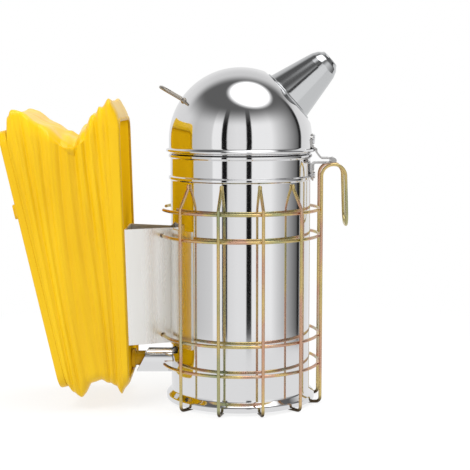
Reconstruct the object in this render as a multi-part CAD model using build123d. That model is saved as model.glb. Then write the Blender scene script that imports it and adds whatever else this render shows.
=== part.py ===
from build123d import *
from math import asin, cos, degrees, radians, sin, sqrt
import os

# Bee smoker. Millimetres and degrees. The origin is on the can's axis, at the surface the smoker
# stands on. +Z is up, +X points to the spout and the hanging hook, and the bellows is on the -X side.

# Sheet metal and clearances
sheet = 0.6                 # stainless sheet of the can, lid and spout
touch = 0.02                # gap between two pieces that lie on each other
running_gap = 0.05          # radial gap round a pin that turns

# Can
can_r = 50.8                # outside, a 4 inch can
can_top = 189.0
neck_step = 0.3             # how much smaller the neck is, all round
neck_h = 7.0
rim_out = 3.6               # how far the rolled bottom rim stands out
rim_top = 6.0
rim_lip = 3.0               # inward lip under the rim
flare_top = 12.8
upper_bead_drop = 9.2       # from the can's top edge to the beads
lower_bead_drop = 25.0
bead_height = 3.0
bead_out = 1.3              # how far a bead stands out
base_sheet = 0.8
wall_bend = 0.8             # centreline radius of the bends in the wall

# Wire guard
wire_d = 2.3                # guard wire
ring_gap = 1.85             # between the bottom rim and the rings
lower_ring_z = 29.0
second_ring_z = 50.0
third_ring_drop = 21.5      # below the bend in the uprights
top_ring_drop = 2.6
ring_end_angle = 165.0      # open rings end here, measured from +X
hooked_ring_angle = 172.0   # the rings that hook into the bracket end here
upright_angles = (45.0, 75.0, 105.0, 135.0, -135.0, -105.0, -75.0, -45.0)
upright_clear = 1.0         # between an upright's top and the lower bead
upright_lean_h = 17.3       # height over which an upright leans in to the can
upright_end = 3.0           # straight end that lies on the can
lean_bend = 5.0
end_bend = 1.5
foot_bend = 3.0
foot_reach = 6.9            # how far a foot reaches in under the bottom rim

# Grate
grate_gap = 2.2             # between the grate and the can, all round
grate_sheet = 1.0
grate_hole_d = 8.0
outer_hole_edge = 13.0      # from the edge of the grate to the middle of the outer holes
outer_hole_spread = 30.0
inner_hole_r = 17.5
group_angles = (65.0, 184.0, 304.0)
tongue_angles = (5.0, 125.0, 244.0)
tongue_inner_r = 4.0
tongue_bend_edge = 10.5     # from the edge of the grate to the bend of a tongue
tongue_tip_w = 6.0
tongue_root_w = 10.0
tongue_cut = 0.5            # width of the cut round a tongue
grate_over_inlet = 0.2

# Air inlet tube and bellows outlet
inlet_d = 18.0
inlet_z = 29.3
inlet_inside = 4.8          # how far the tube reaches into the can, on its axis
inlet_lip_gap = 2.9         # between the tube's lower lip and the front board
inlet_slant = 9.6           # how much shorter the tube is at the top
outlet_d = 10.7
outlet_bore = 8.3
outlet_rise = 1.1           # the nozzle's axis above the inlet tube's
outlet_reach = 10.3         # from the front board to the nozzle's tip
outlet_slant = 4.0
outlet_tail = 1.0           # how far the nozzle stands out inside the bellows
outlet_collar_d = 14.4
outlet_collar = 2.6

# Lid
lid_fit = 0.7               # between the lid and the can's neck, all round
lid_centre_rise = 2.3       # the middle of the dome's sphere above the can's top
lid_rim_drop = 5.0          # the rolled rim below the can's top
lid_rim_d = 2.3
rim_sink = 0.1              # how far the rolled rim is sunk into the skirt
spout_angle = 41.8          # spout axis above the horizontal
flat_depth = 6.3            # how deep the flat under the spout is cut into the sphere
spout_base_r = 19.3
spout_shoulder_r = 12.75
spout_shoulder = 30.0
spout_mouth_r = 7.0
spout_length = 41.0
spout_lip = 1.5
seam_w = 2.0
seam_h = 1.2
seam_overlap = 0.2
seam_round = 0.6
lift_wire_d = 2.2
lift_leg_y = 17.0
lift_foot_rise = 28.0       # the feet of the lifting wire above the dome's centre
lift_leg = 19.5
lift_angle = 30.0
lift_bend = 7.0
lift_weld_d = 4.6

# Lid hinge
hinge_out = 16.2            # from the can's wall to the pin's axis
hinge_drop = 12.5           # from the can's top to the pin's axis
hinge_pin_d = 2.2
pin_head = 0.9
leaf_sheet = 0.9
leaf_gap = 0.05             # between the upper leaf and the lid
knuckle_d = 4.2
knuckle_w = 18.0
centre_knuckle_w = 6.4
knuckle_gap = 0.2           # along the pin
knuckle_clear = 0.8         # between a knuckle and the other leaf's edge
leaf_half_w = 12.5
leaf_corner = 5.0
lid_leaf_rise = 4.3         # top of the upper leaf above the dome's centre
lid_leaf_over_rim = 2.4
leaf_under_bead = 0.5
arm_gap = 0.2               # between the arm and the lid's rolled rim
arm_slope = 3.5             # sideways run of the arm's sloping stretch
arm_bend = 0.9
lower_arm_bend = 1.6
arm_root = 5.0              # overlap of the lower arm with its pad
rivet_d = 2.4
rivet_head_d = 4.6
rivet_head_h = 1.1
rivet_tail_h = 0.8
shank_in_head = 0.3
can_rivet_rise = 2.0        # above the lower bead
lid_rivet_drop = 0.3        # below the dome's centre
lid_rivet_step = 1.6        # how much higher the middle rivet is
lid_rivet_y = 9.0
can_rivet_y = 6.0

# Hanging hook
hook_y = 14.0
hook_reach = 8.0            # from the hinge pin to the hook's outer strand
hook_splay = 1.5            # how much further out the tip is
hook_drop = 2.5             # top of the hook below the hinge pin
hook_length = 44.0
hook_tip_bend = 9.8
arch_straight = 0.1         # straight stretch left on each side of the arch

# Bracket between the can and the bellows
bracket_sheet = 1.2
bracket_under_ring = 6.0    # bracket's lower edge below the second ring
bracket_over_ring = 5.3     # bracket's upper edge above the third ring
bracket_can_y = 9.0
bracket_board_y = 21.0
wall_inside_x = 8.0         # the walls are drawn to here inside the can, then cut to its radius
wall_inside_y = 6.0
flange_angle = 48.0
ring_hole_angle = 11.0      # where the rings pass through the bracket's walls
ring_hole_gap = 0.6
screw_d = 3.4
screw_hole_gap = 0.15
screw_head_d = 6.4
screw_head_h = 1.8
screw_y = 12.0
screw_edge = 18.0           # from the bracket's edges to the screws
screw_short = 1.0           # how far a screw ends before the board's back

# Bellows. Each board has its own frame: x away from the face, y across, z up the board.
bellows_gap = 29.1          # from the can's wall to the front board, at its lower edge
board_foot_z = 20.0
outer_foot_drop = 3.4       # how much lower the outer board's foot is
front_lean = 1.6
front_h = 188.0
foot_spread = 46.1          # between the outer faces of the boards at their lower edges
outer_lean = 12.6
outer_h = 186.4
board_w = 90.0
board_t = 6.0
board_corner = 11.0
frame_w = 3.0               # width of the moulded frame round a board
frame_proud = 1.5           # how far it stands proud of the board's face
frame_short = 2.0           # how much less deep than the board it is
skin_wall = 1.2
skin_gap = 0.1
board_gap = 0.3             # between the skin and a board
skin_overlap = 0.3
front_lobe = ((-3.0, 13.5), (-10.0, 6.5))                  # from the front board's top edge
valley_side = 4.0
valley_drop = 20.0
outer_lobe = ((14.0, 8.0), (8.0, 14.5), (1.0, 9.5))        # from the outer board's top edge
outer_low_lobe = ((5.5, -7.0), (12.0, -4.0))               # from the outer board's lower edge
front_low_lobe = ((-16.0, 3.0), (-6.0, -3.0), (-1.5, -4.5))
skin_start = 1.0
squeeze_pivot_x = 6.0       # the squeeze axis, in the moving board's frame
squeeze_pivot_z = 2.0
stop_w = 30.0
stop_h = 10.6
stop_out = 9.1
stop_height = 128.1         # centre of the finger stop, up the outer board
stop_corner = 2.5
stop_screw_end = 4.0        # how far the stop's screws end before its outer face
cup_d = 26.0
cup_floor = 1.0
cup_lip = 3.0
cup_wall = 0.8
front_cup_z = 104.0
cup_drop = 3.0              # how much lower the outer cup is than level with the front one
spring_d = 21.0
spring_wire = 1.6
spring_turns = 6.0
spring_end_gap = 0.3

# Sizes that follow from those above
wire_r = wire_d / 2
can_mid_r = can_r - sheet / 2
neck_r = can_r - neck_step
neck_mid_r = neck_r - sheet / 2
neck_start = can_top - neck_h
rim_r = can_r + rim_out
upper_bead_z = can_top - upper_bead_drop
lower_bead_z = can_top - lower_bead_drop
ring_r = rim_r + ring_gap + wire_r
upright_r = ring_r + wire_d + touch
upright_top = lower_bead_z - bead_height / 2 - upright_clear
upright_bend_z = upright_top - upright_lean_h
ring_heights = (lower_ring_z, second_ring_z, upright_bend_z - third_ring_drop, upright_bend_z - top_ring_drop)
foot_r = rim_r - foot_reach
base_z = wire_d + touch + 1.5 * sheet + touch
grate_d = 2 * (can_r - sheet - grate_gap)
outer_hole_r = grate_d / 2 - outer_hole_edge
tongue_bend_r = grate_d / 2 - tongue_bend_edge
grate_z = inlet_z + inlet_d / 2 + grate_over_inlet
leg_length = grate_z - base_z - base_sheet - touch
lid_r = neck_r + lid_fit + sheet
lid_centre_z = can_top + lid_centre_rise
lid_rim_z = can_top - lid_rim_drop
spout_plane = lid_r - flat_depth
lift_foot_z = lid_centre_z + lift_foot_rise
hinge_x = can_r + hinge_out
hinge_z = can_top - hinge_drop
lid_leaf_top = lid_centre_z + lid_leaf_rise
lid_leaf_bottom = lid_rim_z + lid_leaf_over_rim
can_leaf_bottom = lower_bead_z - bead_height / 2 - leaf_under_bead
can_rivet_z = lower_bead_z + can_rivet_rise
lid_rivet_z = lid_centre_z - lid_rivet_drop
hook_x = hinge_x + hook_reach
hook_tip_x = hook_x + hook_splay
hook_apex_z = hinge_z - hook_drop
hook_tip_z = hook_apex_z - hook_length
bracket_bottom = ring_heights[1] - bracket_under_ring
bracket_top = ring_heights[2] + bracket_over_ring
front_x = -(can_r + bellows_gap)
outer_x = front_x - foot_spread
screw_heights = (bracket_bottom + screw_edge - board_foot_z, bracket_top - screw_edge - board_foot_z)
frame_back = board_t - frame_short
inlet_inner_end = -(can_r - inlet_inside)
inlet_mouth_bottom = front_x + inlet_lip_gap
inlet_mouth_top = inlet_mouth_bottom + inlet_slant
outlet_z = inlet_z + outlet_rise
outlet_tip_top = front_x + outlet_reach
outlet_tip_bottom = outlet_tip_top - outlet_slant
front_frame = Location((front_x, 0, board_foot_z), (0, -front_lean, 0))
outer_frame = Location((outer_x, 0, board_foot_z - outer_foot_drop), (0, -outer_lean, 0))
spout_direction = Vector(cos(radians(spout_angle)), 0, sin(radians(spout_angle)))
dome_centre = Vector(0, 0, lid_centre_z)
spout_frame = Location(tuple(dome_centre + spout_direction * spout_plane), (0, 90 - spout_angle, 0))


def strip(points, radii, thickness):
    """A sheet of the given thickness whose centreline runs through the points in the XZ plane."""
    line = FilletPolyline(*[(x, 0, z) for x, z in points], radius=radii)
    return make_face(offset(line, amount=thickness / 2, side=Side.BOTH, kind=Kind.INTERSECTION))


def turned(face):
    """The solid that a face in the XZ plane sweeps about the Z axis."""
    return revolve(face, axis=Axis.Z)


def wire(points, radius, diameter):
    """A round wire through the points, with every corner bent to the same centreline radius."""
    path = FilletPolyline(*points, radius=radius)
    return sweep((path ^ 0) * Circle(diameter / 2), path=path)


def about_z(part, angle):
    return Rot(0, 0, angle) * part


def slab(x0, x1, y0, y1, z0, z1):
    """A box between two corners."""
    return Pos((x0 + x1) / 2, (y0 + y1) / 2, (z0 + z1) / 2) * Box(x1 - x0, y1 - y0, z1 - z0)


def disc(radius, z0, z1):
    return Pos(0, 0, (z0 + z1) / 2) * Cylinder(radius, z1 - z0)


def rod_x(radius, x0, x1, y=0.0, z=0.0):
    """A cylinder along X between two planes."""
    return Pos((x0 + x1) / 2, y, z) * Rot(0, 90, 0) * Cylinder(radius, x1 - x0)


def rod_y(radius, y0, y1, x=0.0, z=0.0):
    """A cylinder along Y between two planes."""
    return Pos(x, (y0 + y1) / 2, z) * Rot(90, 0, 0) * Cylinder(radius, y1 - y0)


def bead(z):
    """The four points of a rolled bead round the wall, from top to bottom."""
    half = bead_height / 2
    return [(can_mid_r, z + half), (can_mid_r + bead_out, z + half / 3),
            (can_mid_r + bead_out, z - half / 3), (can_mid_r, z - half)]


def can_body():
    """Straight wall with a neck, two beads and a rolled bottom rim, open at both ends."""
    rim_mid_r = rim_r - sheet / 2
    lip_z = wire_d + touch + sheet / 2
    points = [(neck_mid_r, can_top), (neck_mid_r, neck_start)]
    points += bead(upper_bead_z) + bead(lower_bead_z)
    points += [(can_mid_r, flare_top), (rim_mid_r, rim_top), (rim_mid_r, lip_z),
               (rim_mid_r - rim_lip, lip_z)]
    body = turned(strip(points, wall_bend, sheet))
    return body - rod_x(inlet_d / 2 + touch, -can_r - 5, 0, z=inlet_z) - can_rivets(touch)


def can_base():
    """Flat bottom, held on the rolled rim's inner lip."""
    return disc(rim_r - sheet - 2 * touch, base_z, base_z + base_sheet)


def tongue(grow, length):
    """Outline of a tongue that lies along +X: narrow round tip near the centre, wide root at the bend."""
    tip = tongue_tip_w / 2 + grow
    root = tongue_root_w / 2 + grow
    centre = tongue_bend_r - length + tip
    body = make_face(Polyline((centre, -tip), (tongue_bend_r, -root), (tongue_bend_r, root), (centre, tip),
                              close=True))
    return body + Pos(centre, 0) * Circle(tip)


def grate():
    """Perforated plate that stands on three tongues cut from it and bent straight down."""
    plate = Circle(grate_d / 2)
    for angle in group_angles:
        for side in (-1, 0, 1):
            turn = Rot(0, 0, angle + side * outer_hole_spread)
            plate -= turn * Pos(outer_hole_r, 0) * Circle(grate_hole_d / 2)
        plate -= Rot(0, 0, angle) * Pos(inner_hole_r, 0) * Circle(grate_hole_d / 2)
    for angle in tongue_angles:
        plate -= Rot(0, 0, angle) * tongue(tongue_cut, tongue_bend_r - tongue_inner_r + tongue_cut)
    part = Pos(0, 0, grate_z) * extrude(plate, grate_sheet)
    leg_root = Location((tongue_bend_r, 0, grate_z), (0, 90, 0))
    leg = leg_root * extrude(Pos(-tongue_bend_r, 0) * mirror(tongue(0, leg_length), Plane.YZ).moved(
        Location((2 * tongue_bend_r, 0, 0))), grate_sheet)
    collar = slab(tongue_bend_r, tongue_bend_r + grate_sheet, -tongue_root_w / 2, tongue_root_w / 2,
                  grate_z, grate_z + grate_sheet)
    for angle in tongue_angles:
        part += about_z(leg + collar, angle)
    return part


def air_inlet_tube():
    """Short tube through the can's wall, with a slanted mouth whose lower lip reaches further out."""
    outer = rod_x(inlet_d / 2, inlet_mouth_bottom, inlet_inner_end, z=inlet_z)
    bore = rod_x(inlet_d / 2 - sheet, inlet_mouth_bottom - 1, inlet_inner_end + 1, z=inlet_z)
    return (outer - bore) - slanted_cut(inlet_mouth_top, inlet_mouth_bottom, inlet_z, inlet_d)


def slanted_cut(top_x, bottom_x, z, diameter):
    """Everything beyond a slanted plane on the -X side of a tube that ends at the plane."""
    high, low = z + diameter / 2, z - diameter / 2
    reach = 2 * diameter
    slope = (top_x - bottom_x) / diameter
    outline = Polyline((bottom_x, low), (top_x, high), (top_x + slope, high + 1),
                       (bottom_x - reach, high + 1), (bottom_x - reach, low), close=True)
    return extrude(Plane.XZ * make_face(outline), diameter, both=True)


def lid_profile_solid(radius, plane):
    """A dome with a straight skirt, cut flat where the spout stands."""
    ball = Pos(0, 0, lid_centre_z) * Sphere(radius)
    skirt = disc(radius, lid_rim_z, lid_centre_z)
    above = ball & disc(2 * radius, lid_centre_z, lid_centre_z + 2 * radius)
    cutter = spout_frame * Pos(0, 0, plane - spout_plane + radius / 2) * Box(3 * radius, 3 * radius, radius)
    return (above + skirt) - cutter


def lid_dome():
    """Thin dome with a rolled rim, a flat face under the spout and a hole into the spout."""
    outside = lid_profile_solid(lid_r, spout_plane)
    rim = Pos(0, 0, lid_rim_z) * Torus(lid_r + lid_rim_d / 2 - rim_sink, lid_rim_d / 2)
    inside = lid_profile_solid(lid_r - sheet, spout_plane - sheet)
    inside += disc(lid_r - sheet, lid_rim_z - 2 * lid_rim_d, lid_rim_z)
    hole = spout_frame * Cylinder(spout_base_r - sheet, 6)
    return (outside + rim) - inside - hole - lid_rivets(touch)


def spout():
    """Cone that rounds in to a small mouth, with a folded seam round its base."""
    wall = [Line((spout_base_r, seam_h), (spout_shoulder_r, spout_shoulder))]
    start = wall[0] @ 1
    wall.append(TangentArc(start, (spout_mouth_r, spout_length - spout_lip), tangent=wall[0] % 1))
    wall.append(Line(wall[1] @ 1, (spout_mouth_r, spout_length)))
    inner = [Line((spout_base_r - sheet, seam_h), (spout_shoulder_r - sheet, spout_shoulder))]
    mouth = (spout_mouth_r - sheet, spout_length - spout_lip)
    inner.append(TangentArc(inner[0] @ 1, mouth, tangent=inner[0] % 1))
    inner.append(Line(inner[1] @ 1, (spout_mouth_r - sheet, spout_length)))
    ends = [Line(wall[0] @ 0, inner[0] @ 0), Line(wall[2] @ 1, inner[2] @ 1)]
    section = make_face(Wire(wall + inner + ends))
    cone = revolve(Plane.XZ * section, axis=Axis.Z)
    seam = disc(spout_base_r + seam_w, touch, seam_h + seam_overlap)
    seam = fillet(seam.edges().sort_by(Axis.Z)[-1], seam_round) - Cylinder(spout_base_r - sheet, 10)
    return spout_frame * (cone + seam)


def lift_wire():
    """U of wire that stands out of the dome on the bellows side, for lifting the lid."""
    foot = Vector(-sqrt(lid_r**2 - (lift_foot_z - lid_centre_z)**2 - lift_leg_y**2), 0, lift_foot_z)
    along = Vector(-cos(radians(lift_angle)), 0, sin(radians(lift_angle)))
    low = foot - along * lift_wire_d
    high = foot + along * lift_leg
    points = [(low.X, lift_leg_y, low.Z), (high.X, lift_leg_y, high.Z),
              (high.X, -lift_leg_y, high.Z), (low.X, -lift_leg_y, low.Z)]
    part = wire(points, lift_bend, lift_wire_d)
    for side in (-1, 1):
        part += Pos(foot.X, side * lift_leg_y, foot.Z) * Sphere(lift_weld_d / 2)
    return part - Pos(0, 0, lid_centre_z) * Sphere(lid_r + touch)


def knuckle(y0, y1):
    """A rolled hinge knuckle on the pin's axis."""
    return rod_y(knuckle_d / 2, y0, y1, hinge_x, hinge_z)


def knuckle_slot(y0, y1):
    """Room for the other leaf's knuckle."""
    reach = knuckle_d / 2 + knuckle_clear
    return slab(hinge_x - reach, hinge_x + reach, y0, y1, hinge_z - reach, hinge_z + reach)


def pin_hole():
    return rod_y(hinge_pin_d / 2 + running_gap, -knuckle_w, knuckle_w, hinge_x, hinge_z)


def pad(radius, z0, z1, round_at_top):
    """A curved plate round the can's axis, with one rounded end."""
    shell = disc(radius + leaf_sheet, z0, z1) - disc(radius, z0 - 1, z1 + 1)
    outline = Rectangle(2 * leaf_half_w, z1 - z0)
    ends = outline.vertices().sort_by(Axis.Y)[-2:] if round_at_top else outline.vertices().sort_by(Axis.Y)[:2]
    outline = fillet(ends, leaf_corner)
    window = extrude(Plane.YZ * outline, 2 * radius)
    return shell & Pos(0, 0, (z0 + z1) / 2) * window


def lid_rivets(grow):
    """Shanks and heads of the rivets through the upper leaf, set flush inside the lid."""
    part = None
    leaf_out = lid_r + leaf_gap + leaf_sheet + touch
    places = ((-lid_rivet_y, lid_rivet_z), (0.0, lid_rivet_z + lid_rivet_step), (lid_rivet_y, lid_rivet_z))
    for y, z in places:
        angle = degrees(asin(y / lid_r))
        shank = rod_x(rivet_d / 2 + grow, lid_r - sheet + leaf_gap, leaf_out + shank_in_head, z=z)
        head = rod_x(rivet_head_d / 2, leaf_out, leaf_out + rivet_head_h, z=z)
        rivet = about_z(shank if grow else shank + head, angle)
        part = rivet if part is None else part + rivet
    return part


def can_rivets(grow):
    """Shanks and heads of the rivets through the lower leaf, with a low head inside the can."""
    part = None
    leaf_out = can_r + bead_out + touch + leaf_sheet + touch
    tail_x = can_r - sheet - 5 * touch
    for y in (-can_rivet_y, can_rivet_y):
        angle = degrees(asin(y / can_r))
        shank = rod_x(rivet_d / 2 + grow, tail_x - rivet_tail_h / 2, leaf_out + shank_in_head, z=can_rivet_z)
        head = rod_x(rivet_head_d / 2, leaf_out, leaf_out + rivet_head_h, z=can_rivet_z)
        tail = rod_x(rivet_head_d / 2, tail_x - rivet_tail_h, tail_x, z=can_rivet_z)
        rivet = about_z(shank if grow else shank + head + tail, angle)
        part = rivet if part is None else part + rivet
    return part


def hinge_leaf_lid():
    """Upper leaf: a curved pad on the lid, an arm that steps out over the rim, and the middle knuckle."""
    inner = lid_r + leaf_gap
    mid = inner + leaf_sheet / 2
    step = lid_r + lid_rim_d + leaf_sheet / 2 + arm_gap
    tangent_z = hinge_z + (knuckle_d - leaf_sheet) / 2
    rim_half = lid_rim_d / 2
    points = [(mid, lid_leaf_bottom + leaf_sheet), (mid, lid_rim_z + lid_leaf_over_rim - leaf_sheet / 2),
              (step, lid_rim_z + rim_half), (step, lid_rim_z - rim_half), (step + arm_slope, tangent_z),
              (hinge_x, tangent_z)]
    arm = extrude(strip(points, arm_bend, leaf_sheet), knuckle_w / 2, both=True)
    part = pad(inner, lid_leaf_bottom, lid_leaf_top, True) + arm
    half = centre_knuckle_w / 2
    side_cut = knuckle_slot(half, knuckle_w)
    part = part - side_cut - mirror(side_cut, Plane.XZ)
    return part + knuckle(-half, half) - pin_hole() - lid_rivets(touch)


def hinge_leaf_can():
    """Lower leaf: a curved pad over the can's lower bead, a level arm, and the two end knuckles."""
    inner = can_r + bead_out + touch
    mid = inner + leaf_sheet / 2
    tangent_z = hinge_z - (knuckle_d - leaf_sheet) / 2
    points = [(mid, tangent_z - arm_root), (mid, tangent_z), (hinge_x, tangent_z)]
    arm = extrude(strip(points, lower_arm_bend, leaf_sheet), knuckle_w / 2, both=True)
    part = pad(inner, can_leaf_bottom, tangent_z - leaf_sheet, False) + arm
    half = centre_knuckle_w / 2 + knuckle_gap
    part -= knuckle_slot(-half, half)
    for side in (-1, 1):
        ends = sorted((side * half, side * knuckle_w / 2))
        part += knuckle(*ends)
    return part - pin_hole() - can_rivets(touch)


def hinge_pin():
    """Pin with a low head at each end."""
    end = knuckle_w / 2 + touch
    part = rod_y(hinge_pin_d / 2, -end, end, hinge_x, hinge_z)
    for side in (-1, 1):
        ends = sorted((side * end, side * (end + pin_head)))
        part += rod_y((hinge_pin_d + knuckle_d) / 4, *ends, hinge_x, hinge_z)
    return part


def guard_ring(z, end_angle):
    """A horizontal ring of wire, open on the bellows side."""
    ring = Pos(0, 0, z) * Torus(ring_r, wire_r)
    reach = 2 * ring_r
    y = reach * sin(radians(180 - end_angle))
    x = reach * cos(radians(180 - end_angle))
    gap = extrude(make_face(Polyline((0, 0), (-x, y), (-x, -y), close=True)), wire_d, both=True)
    return ring - Pos(0, 0, z) * gap


def guard_upright(angle):
    """A vertical wire: a foot under the can, a straight stretch, and a top that leans in to the wall."""
    lean_r = can_r + wire_r + touch
    points = [(foot_r, 0, wire_r), (upright_r, 0, wire_r), (upright_r, 0, upright_bend_z),
              (lean_r, 0, upright_top - upright_end), (lean_r, 0, upright_top)]
    path = FilletPolyline(*points, radius=[foot_bend, lean_bend, end_bend])
    return about_z(sweep((path ^ 0) * Circle(wire_r), path=path), angle)


def guard_hook():
    """One wire: from under the can up the spout side, over in an arch, down and round in a U, and back."""
    leg_x = sqrt(upright_r**2 - hook_y**2)
    toe_x = sqrt(foot_r**2 - hook_y**2)
    arch = (hook_x - leg_x) / 2 - arch_straight
    points = [(toe_x, hook_y, wire_r), (leg_x, hook_y, wire_r), (leg_x, hook_y, hook_apex_z),
              (hook_x, hook_y, hook_apex_z), (hook_tip_x, hook_y, hook_tip_z)]
    points += [(x, -y, z) for x, y, z in reversed(points)]
    radii = [foot_bend, arch, arch, hook_tip_bend, hook_tip_bend, arch, arch, foot_bend]
    path = FilletPolyline(*points, radius=radii)
    return sweep((path ^ 0) * Circle(wire_r), path=path)


def bellows_bracket():
    """Channel of sheet: two flanges round the can, two walls that spread outwards, and a web on the board."""
    height = bracket_top - bracket_bottom
    lean = Vector(-sin(radians(front_lean)), 0, cos(radians(front_lean)))
    back = (bracket_bottom - board_foot_z) * sin(radians(front_lean))
    wall_end = front_x - back + bracket_sheet / 2 + touch
    inside_x = -can_r + wall_inside_x
    corner_y = bracket_board_y - bracket_sheet / 2
    line = Polyline((inside_x, wall_inside_y), (wall_end, corner_y), (wall_end, -corner_y),
                    (inside_x, -wall_inside_y))
    channel = make_face(offset(line, amount=bracket_sheet / 2, side=Side.BOTH, kind=Kind.INTERSECTION))
    part = Pos(0, 0, bracket_bottom) * extrude(channel, height / lean.Z, dir=lean)
    inner = can_r + touch
    flange = Circle(inner + bracket_sheet) - Circle(inner)
    reach = 2 * can_r
    outer_edge = (-reach * cos(radians(flange_angle)), reach * sin(radians(flange_angle)))
    inner_edge = (-reach, reach * (bracket_can_y - bracket_sheet / 2) / can_r)
    sector = make_face(Polyline((0, 0), outer_edge, (-reach, outer_edge[1]), inner_edge, close=True))
    flange = flange & (sector + mirror(sector, Plane.XZ))
    part -= disc(inner, 0, can_top)
    part += Pos(0, 0, bracket_bottom) * extrude(flange, height)
    for z in ring_heights[1:3]:
        hole_x = -ring_r * cos(radians(ring_hole_angle))
        part -= rod_y(wire_r + ring_hole_gap, -bracket_board_y, bracket_board_y, hole_x, z)
    return part - front_frame * screws(screw_hole_gap, False)


def screws(grow, heads):
    """The four bracket screws, in the front board's frame."""
    part = None
    for y in (-screw_y, screw_y):
        for z in screw_heights:
            seat = bracket_sheet + 2 * touch
            screw = rod_x(screw_d / 2 + grow, -board_t + screw_short, seat, y, z)
            if heads:
                screw += rod_x(screw_head_d / 2, seat, seat + screw_head_h, y, z)
            part = screw if part is None else part + screw
    return part


def bracket_screws():
    """Four pan-head screws from the bracket's web into the front board."""
    return front_frame * screws(0, True)


def board_blank(height, width, x0, x1, inset):
    """A plate with rounded corners, between two planes of its own x."""
    outline = RectangleRounded(width - 2 * inset, height - 2 * inset, board_corner - inset)
    return Pos(x0, 0, height / 2) * extrude(Plane.YZ * outline, x1 - x0)


def front_board():
    """Board on the can side of the bellows, drilled for the outlet and the bracket's screws."""
    part = front_frame * board_blank(front_h, board_w, -board_t, 0, frame_w + touch)
    part -= rod_x(outlet_d / 2 + touch, front_x - 3 * board_t, front_x + 3 * board_t, z=outlet_z)
    return part - front_frame * screws(touch, False)


def moulded_frame(height, x0, x1):
    """Moulded frame round a board's edge."""
    return board_blank(height, board_w, x0, x1, 0) - board_blank(height, board_w, x0 - 1, x1 + 1, frame_w)


def front_rim():
    return front_frame * moulded_frame(front_h, -frame_back, frame_proud)


def outlet_nozzle():
    """Tube that carries the air from the bellows into the mouth of the inlet tube, with a collar."""
    back = front_x - board_t - outlet_tail
    tube = rod_x(outlet_d / 2, back, outlet_tip_top, z=outlet_z)
    face = front_x + touch
    tube += rod_x(outlet_collar_d / 2, face, face + outlet_collar, z=outlet_z)
    tube -= rod_x(outlet_bore / 2, back - 1, outlet_tip_top + 1, z=outlet_z)
    low, high = outlet_z - outlet_d / 2, outlet_z + outlet_d / 2
    beyond = outlet_tip_top + outlet_d
    tip_top, tip_bottom = (outlet_tip_top, high), (outlet_tip_bottom, low)
    cut = Polyline(tip_top, tip_bottom, (beyond, low), (beyond, high), close=True)
    return tube - extrude(Plane.XZ * make_face(cut), outlet_d, both=True)


def outer_board():
    """The board that is squeezed."""
    part = board_blank(outer_h, board_w, 0, board_t, frame_w + touch)
    return outer_frame * (part - stop_screws(touch))


def outer_rim():
    return outer_frame * moulded_frame(outer_h, -frame_proud, frame_back)


def finger_stop():
    """Block on the outer board that keeps the fingers from sliding down."""
    low, high = stop_height - stop_h / 2, stop_height + stop_h / 2
    block = slab(-stop_out, -touch, -stop_w / 2, stop_w / 2, low, high)
    block = fillet(block.edges().filter_by(Axis.X), stop_corner)
    return outer_frame * (block - stop_screws(touch))


def stop_screws(grow):
    """Two screws from inside the outer board into the finger stop, in the board's frame."""
    part = None
    for y in (-stop_w / 4, stop_w / 4):
        screw = rod_x(screw_d / 2 + grow, -stop_out + stop_screw_end, board_t + touch, y, stop_height)
        if not grow:
            screw += rod_x(screw_head_d / 2, board_t + touch, board_t + touch + screw_head_h, y, stop_height)
        part = screw if part is None else part + screw
    return part


def cup():
    """Shallow cup that keeps one end of the spring in place. Its back is at x = 0."""
    full = rod_x(cup_d / 2, 0, cup_lip)
    return full - rod_x(cup_d / 2 - cup_wall, cup_floor, cup_lip + 1)


front_cup_place = front_frame * Location((-board_t - touch, 0, front_cup_z), (0, 180, 0))
outer_cup_rise = front_cup_z * cos(radians(front_lean)) + outer_foot_drop
outer_cup_z = outer_cup_rise / cos(radians(outer_lean)) - cup_drop
outer_cup_place = outer_frame * Location((board_t + touch, 0, outer_cup_z))


def spring_ends():
    """The middles of the two cup floors."""
    near = (front_cup_place * Location((cup_floor, 0, 0))).position
    far = (outer_cup_place * Location((cup_floor, 0, 0))).position
    return near, far


def return_spring():
    """Round-wire compression spring that opens the bellows after each squeeze."""
    near, far = spring_ends()
    axis = far - near
    tilt = radians((outer_lean - front_lean) / 2)
    margin = spring_d / 2 * sin(tilt) + spring_wire / 2 + spring_end_gap
    height = axis.length - 2 * margin
    coil_r = (spring_d - spring_wire) / 2
    helix = Helix(pitch=height / spring_turns, height=height, radius=coil_r)
    coil = sweep((helix ^ 0) * Circle(spring_wire / 2), path=helix, is_frenet=True)
    start = near + axis.normalized() * margin
    return Plane(origin=start, z_dir=axis.normalized(), x_dir=(0, 1, 0)).location * coil


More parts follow.
